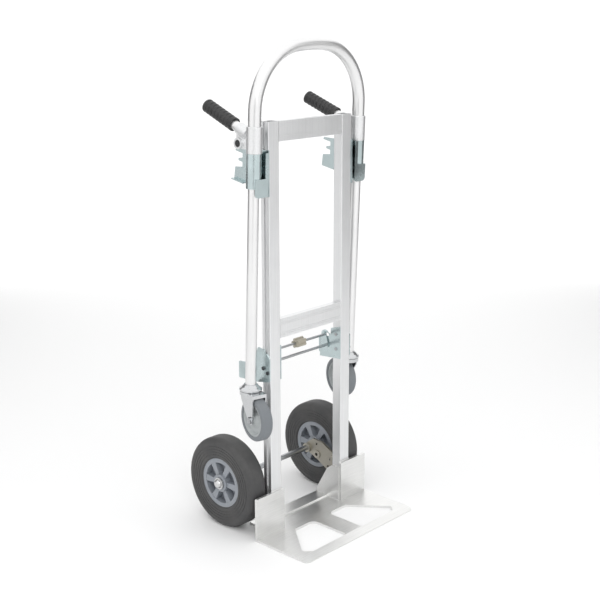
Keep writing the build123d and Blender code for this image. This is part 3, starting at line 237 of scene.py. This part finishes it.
# %% The finishes
FINISHES = {
    "plate_aluminium": metal(
        "plate_aluminium", (0.78, 0.78, 0.77), 0.36, ACROSS_X, contrast=0.3, smudge=0.22),
    "rail_aluminium": metal("rail_aluminium", (0.77, 0.775, 0.78), 0.38, ALONG_Z, contrast=0.18),
    "tube_aluminium": metal("tube_aluminium", (0.80, 0.80, 0.80), 0.31, ALONG_Z, contrast=0.1),
    "cast_aluminium": metal("cast_aluminium", (0.76, 0.765, 0.77), 0.42, contrast=0.25, bump=0.0001),
    "cast_bracket": metal("cast_bracket", (0.42, 0.40, 0.35), 0.5, contrast=0.3, bump=0.00012),
    "blue_zinc": metal("blue_zinc", (0.50, 0.58, 0.59), 0.24, contrast=0.2, smudge=0.8),
    "bright_zinc": metal("bright_zinc", (0.60, 0.61, 0.62), 0.20, contrast=0.1, smudge=0.4),
    "steel": metal("steel", (0.40, 0.41, 0.42), 0.28, ACROSS_X, contrast=0.1),
    "dark_steel": metal("dark_steel", (0.10, 0.105, 0.11), 0.38, contrast=0.2),
    "cap_metal": metal("cap_metal", (0.64, 0.64, 0.64), 0.30, contrast=0.1),
    "tyre_rubber": moulded("tyre_rubber", (0.050, 0.050, 0.051), 0.6, dust=0.08),
    "hub_plastic": moulded(
        "hub_plastic", (0.25, 0.27, 0.30), 0.42, dust=0.12, pebble=500.0, bump=0.00004),
    "grip_rubber": moulded("grip_rubber", (0.016, 0.016, 0.017), 0.42, dust=0.05),
    "bush_nylon": moulded("bush_nylon", (0.02, 0.02, 0.022), 0.5, dust=0.05),
    "knob_plastic": moulded("knob_plastic", (0.40, 0.37, 0.30), 0.45, dust=0.1),
    "caster_rubber": moulded("caster_rubber", (0.17, 0.185, 0.20), 0.5, dust=0.12),
    "caster_plastic": moulded(
        "caster_plastic", (0.38, 0.405, 0.41), 0.42, dust=0.1, pebble=500.0, bump=0.00004),
}

for entry in frame["record"]["subparts"]:
    part = parts[entry["node"]]
    part.data.materials.clear()
    part.data.materials.append(FINISHES[entry["material_slot"]])

# %% [markdown]
# ## Pieces that grow from a rule
# A ribbed grip and a weld bead are the same idea: a short line with something repeated along it.
# Each is a Geometry Nodes group with named inputs, run once on an empty mesh and kept as plain
# geometry. Sculpting them by hand would look the same and could not be changed afterwards.


# %% Geometry helper
def grow(name, group, body, slot, values):
    """Runs a geometry group once with the given inputs and keeps the plain mesh as a piece of a body."""
    piece = bpy.data.objects.new(name, bpy.data.meshes.new(name))
    bpy.context.scene.collection.objects.link(piece)
    modifier = piece.modifiers.new("grow", "NODES")
    modifier.node_group = group
    values = {**values, "Material": FINISHES[slot]}
    for item in group.interface.items_tree:
        if item.in_out == "INPUT":
            modifier[item.identifier] = values[item.name]
    grown = piece.evaluated_get(bpy.context.evaluated_depsgraph_get())
    mesh = bpy.data.meshes.new_from_object(grown)
    piece.modifiers.remove(modifier)
    piece.data = mesh
    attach(piece, body)
    return piece


print("grow ready")


# %% Geometry group: ribbed grip
GRIP_STEPS = 260  # rings along the sleeve, enough to keep each rib round
RIB_SHARPNESS = 3.0  # 1 gives a plain wave, more gives broad ribs with narrow grooves
COLLAR_SHARE = (0.07, 0.10)  # of the length: smooth up to the first, ribbed from the second
DOME_SHARE = 0.95  # of the length: the closed end rounds off from here


def make_grip():
    """A lathed sleeve along a line: a smooth collar, finger ribs, and a rounded closed end."""
    group, given, result = new_group(
        "ribbed grip", "GeometryNodeTree",
        [("Start", "NodeSocketVector", None), ("End", "NodeSocketVector", None),
         ("Radius", "NodeSocketFloat", 0.018), ("Rib Depth", "NodeSocketFloat", 0.0015),
         ("Ribs", "NodeSocketFloat", 12.0), ("Material", "NodeSocketMaterial", None)],
        [("Geometry", "NodeSocketGeometry")],
    )
    link = group.links.new
    line = group.nodes.new("GeometryNodeCurvePrimitiveLine")
    link(given.outputs["Start"], line.inputs["Start"])
    link(given.outputs["End"], line.inputs["End"])
    fine = add_node(group, "GeometryNodeResampleCurve", Count=GRIP_STEPS)
    link(line.outputs["Curve"], fine.inputs["Curve"])
    along = group.nodes.new("GeometryNodeSplineParameter").outputs["Factor"]
    phase = calc(group, "MULTIPLY", calc(group, "MULTIPLY", along, given.outputs["Ribs"]), 2 * pi)
    valley = calc(group, "ADD", calc(group, "MULTIPLY", calc(group, "COSINE", phase, 0.0), 0.5), 0.5)
    groove = calc(group, "POWER", valley, RIB_SHARPNESS)
    ribbed = add_node(
        group, "ShaderNodeMapRange", From_Min=COLLAR_SHARE[0], From_Max=COLLAR_SHARE[1])
    link(along, ribbed.inputs["Value"])
    depth = calc(group, "MULTIPLY", groove, given.outputs["Rib Depth"])
    cut = calc(group, "MULTIPLY", depth, ribbed.outputs["Result"])
    tip = add_node(group, "ShaderNodeMapRange", From_Min=DOME_SHARE, From_Max=1.0)
    link(along, tip.inputs["Value"])
    off_axis = calc(group, "POWER", tip.outputs["Result"], 2.0)
    dome = calc(group, "SQRT", calc(group, "SUBTRACT", 1.0, off_axis), 0.0)
    size = calc(group, "MULTIPLY", calc(group, "SUBTRACT", given.outputs["Radius"], cut), dome)
    ring = add_node(group, "GeometryNodeCurvePrimitiveCircle", Resolution=56, Radius=1.0)
    lathe = group.nodes.new("GeometryNodeCurveToMesh")
    lathe.inputs["Fill Caps"].default_value = True
    link(fine.outputs["Curve"], lathe.inputs["Curve"])
    link(ring.outputs["Curve"], lathe.inputs["Profile Curve"])
    link(size, lathe.inputs["Scale"])
    smooth = group.nodes.new("GeometryNodeSetShadeSmooth")
    paint = group.nodes.new("GeometryNodeSetMaterial")
    link(lathe.outputs["Mesh"], smooth.inputs["Geometry"])
    link(smooth.outputs["Geometry"], paint.inputs["Geometry"])
    link(given.outputs["Material"], paint.inputs["Material"])
    link(paint.outputs["Geometry"], result.inputs["Geometry"])
    return group



# %% The grips
RIBBED_GRIP = make_grip()
LEAN = radians(2.23)  # of the handle against the rails
GRIP_RISE, GRIP_TOE_IN = radians(19.8), radians(2.4)
GRIP_LENGTH, GRIP_RADIUS, RIB_DEPTH, RIBS = 0.118, 0.0184, 0.0022, 9.0
for side, hand in ((-1, "left"), (1, "right")):
    low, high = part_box(f"grip_{hand}")
    middle = (Vector(low) + Vector(high)) / 2
    inward, back = -side * sin(GRIP_TOE_IN), cos(GRIP_TOE_IN)
    pointing = Vector((inward, back * cos(GRIP_RISE), back * sin(GRIP_RISE)))
    pointing = Matrix.Rotation(LEAN, 3, "X") @ pointing
    grip = grow(
        f"ribbed_grip_{hand}", RIBBED_GRIP, "handle", "grip_rubber",
        {"Start": middle - pointing * GRIP_LENGTH / 2, "End": middle + pointing * GRIP_LENGTH / 2,
         "Radius": GRIP_RADIUS, "Rib Depth": RIB_DEPTH, "Ribs": RIBS},
    )
    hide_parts(f"grip_{hand}")
    print(grip.name, len(grip.data.polygons), "faces")


# %% Geometry group: weld bead
PUDDLE_LEAST, PUDDLE_MOST = (0.85, 0.85, 0.75), (1.1, 1.1, 1.0)  # shares of the bead's radius


def make_weld():
    """Flattened blobs that overlap along a line, each a little different, as a row of weld puddles sets."""
    group, given, result = new_group(
        "weld bead", "GeometryNodeTree",
        [("Start", "NodeSocketVector", None), ("End", "NodeSocketVector", None),
         ("Radius", "NodeSocketFloat", 0.002), ("Pitch", "NodeSocketFloat", 0.0016),
         ("Seed", "NodeSocketInt", 1), ("Material", "NodeSocketMaterial", None)],
        [("Geometry", "NodeSocketGeometry")],
    )
    link = group.links.new
    line = group.nodes.new("GeometryNodeCurvePrimitiveLine")
    link(given.outputs["Start"], line.inputs["Start"])
    link(given.outputs["End"], line.inputs["End"])
    puddles = add_node(group, "GeometryNodeResampleCurve")
    puddles.mode = "LENGTH"
    link(line.outputs["Curve"], puddles.inputs["Curve"])
    link(given.outputs["Pitch"], puddles.inputs["Length"])
    blob = add_node(group, "GeometryNodeMeshUVSphere", Segments=14, Rings=8)
    link(given.outputs["Radius"], blob.inputs["Radius"])
    vary = add_node(group, "FunctionNodeRandomValue", {"data_type": "FLOAT_VECTOR"})
    vary.inputs[0].default_value, vary.inputs[1].default_value = PUDDLE_LEAST, PUDDLE_MOST
    link(given.outputs["Seed"], vary.inputs["Seed"])
    place = group.nodes.new("GeometryNodeInstanceOnPoints")
    link(puddles.outputs["Curve"], place.inputs["Points"])
    link(blob.outputs["Mesh"], place.inputs["Instance"])
    link(vary.outputs[0], place.inputs["Scale"])
    solid = group.nodes.new("GeometryNodeRealizeInstances")
    smooth = group.nodes.new("GeometryNodeSetShadeSmooth")
    paint = group.nodes.new("GeometryNodeSetMaterial")
    link(place.outputs["Instances"], solid.inputs["Geometry"])
    link(solid.outputs["Geometry"], smooth.inputs["Geometry"])
    link(smooth.outputs["Geometry"], paint.inputs["Geometry"])
    link(given.outputs["Material"], paint.inputs["Material"])
    link(paint.outputs["Geometry"], result.inputs["Geometry"])
    return group



# %% The welds
WELD_BEAD = make_weld()
BEAD_RADIUS, BEAD_PITCH = 0.0018, 0.0015
WING_END_GAP = 0.004  # the foot bead stops this far from the wing's edge
for side, hand in ((-1, "left"), (1, "right")):
    wing_low, wing_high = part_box(f"wing_{hand}")
    rail_low, rail_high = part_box(f"rail_{hand}")
    gusset_low, gusset_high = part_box(f"gusset_{hand}")
    rail_x = sorted((abs(rail_low[0]), abs(rail_high[0])))
    tip_x = max(abs(wing_low[0]), abs(wing_high[0])) - WING_END_GAP
    inner_x = min(abs(gusset_low[0]), abs(gusset_high[0]))
    back_y, floor_z, top_z = wing_high[1], wing_low[2], wing_high[2]
    strip_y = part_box("rear_strip")[0][1]
    seams = {
        "wing_foot": ((rail_x[1], back_y, floor_z), (tip_x, back_y, floor_z)),
        "wing_rail": ((rail_x[1], back_y, floor_z), (rail_x[1], back_y, top_z)),
        "wing_top": ((rail_x[0], back_y, top_z), (rail_x[1], back_y, top_z)),
        "gusset_foot": ((inner_x, back_y, floor_z), (inner_x, strip_y, floor_z)),
    }
    for number, (seam, ends) in enumerate(seams.items()):
        start, end = (Vector((side * x, y, z)) for x, y, z in ends)
        grow(f"weld_{seam}_{hand}", WELD_BEAD, "frame", "plate_aluminium",
             {"Start": start, "End": end, "Radius": BEAD_RADIUS, "Pitch": BEAD_PITCH, "Seed": number + 1})
print("welds laid")

# %% [markdown]
# ## The studio
# A pale floor that runs to the horizon under a bright even sky, so that nothing but the truck has
# an outline. Bare metal shows what stands around it, and in an all white room it turns into a white
# shape. Grey cards to the left and right, outside the camera's view, put soft grey edges back on
# the tubes. They are set by their angle from that view.

# %% Floor
FLOOR_HALF = 60.0
bpy.ops.mesh.primitive_plane_add(size=2 * FLOOR_HALF, location=(0, 0, 0))
floor = bpy.context.object
floor.name = "studio_floor"
floor_paint = bpy.data.materials.new("floor_paint")
floor_paint.use_nodes = True
floor_shader = floor_paint.node_tree.nodes["Principled BSDF"]
floor_shader.inputs["Base Color"].default_value = (0.90, 0.90, 0.90, 1.0)
floor_shader.inputs["Roughness"].default_value = 0.9
floor_shader.inputs["Specular IOR Level"].default_value = 0.1
floor.data.materials.append(floor_paint)

# %% Grey cards
VIEW_AZIMUTH = 43.0  # degrees from +X, the way the camera looks
CARD_H, CARD_LIFT = 2.6, 0.1
CARDS = {  # degrees from the view, distance from the truck, width
    "card_left": (62.0, 3.0, 3.0),
    "card_right": (-60.0, 3.0, 3.0),
    "card_behind_camera": (176.0, 4.5, 1.2),
}

card_paint = bpy.data.materials.new("card_paint")
card_paint.use_nodes = True
card_shader = card_paint.node_tree.nodes["Principled BSDF"]
card_shader.inputs["Base Color"].default_value = (0.22, 0.22, 0.22, 1.0)
card_shader.inputs["Roughness"].default_value = 1.0
for name, (turn, away, width) in CARDS.items():
    toward = radians(VIEW_AZIMUTH + turn)
    bpy.ops.mesh.primitive_plane_add(size=1, rotation=(pi / 2, 0, toward + pi / 2))
    card = bpy.context.object
    card.name = name
    card.scale = (width, CARD_H, 1)
    card.location = (away * cos(toward), away * sin(toward), CARD_H / 2 + CARD_LIFT)
    card.data.materials.append(card_paint)
print(len(CARDS), "cards")

# %% Sky and lights
SKY_STRENGTH = 1.25
SKY_STOPS = (0.05, 0.92), (0.60, 1.0)  # height of the direction, grey
world = bpy.data.worlds.new("studio_sky")
bpy.context.scene.world = world
world.use_nodes = True
sky = world.node_tree
direction = sky.nodes.new("ShaderNodeTexCoord")
split = sky.nodes.new("ShaderNodeSeparateXYZ")
ramp = sky.nodes.new("ShaderNodeValToRGB")
sky.links.new(direction.outputs["Generated"], split.inputs[0])
sky.links.new(split.outputs["Z"], ramp.inputs["Fac"])
sky.links.new(ramp.outputs["Color"], sky.nodes["Background"].inputs["Color"])
sky.nodes["Background"].inputs["Strength"].default_value = SKY_STRENGTH
for stop, (height, grey) in zip(ramp.color_ramp.elements, SKY_STOPS):
    stop.position, stop.color = height, (grey, grey, grey, 1.0)


def soft_light(name, place, aim, size, power):
    lamp = bpy.data.lights.new(name, "AREA")
    lamp.size, lamp.energy = size, power
    rig = bpy.data.objects.new(name, lamp)
    rig.location = place
    rig.rotation_euler = (Vector(aim) - Vector(place)).to_track_quat("-Z", "Y").to_euler()
    bpy.context.scene.collection.objects.link(rig)


soft_light("key", (-3.0, -3.4, 3.4), (0, 0, 0.6), 2.0, 45)
bpy.context.scene.view_settings.view_transform = "Standard"
print("studio ready")

# %% [markdown]
# ## The camera
# A long lens from chest height, in front of the nose and to the truck's left, looking slightly
# down.

# %% Camera
CAMERA_PLACE = (-2.2131, -2.0148, 1.4256)
YAW, PITCH, ROLL = radians(46.97), radians(14.35), radians(-0.15)
camera = bpy.data.objects.new("camera", bpy.data.cameras.new("camera"))
camera.data.sensor_width = 36.0
camera.data.lens = 67.52
camera.data.shift_y = -0.0089
camera.matrix_world = (
    Matrix.Translation(CAMERA_PLACE) @ Matrix.Rotation(-YAW, 4, "Z")
    @ Matrix.Rotation(pi / 2 - PITCH, 4, "X") @ Matrix.Rotation(ROLL, 4, "Z")
)
bpy.context.scene.collection.objects.link(camera)
bpy.context.scene.camera = camera
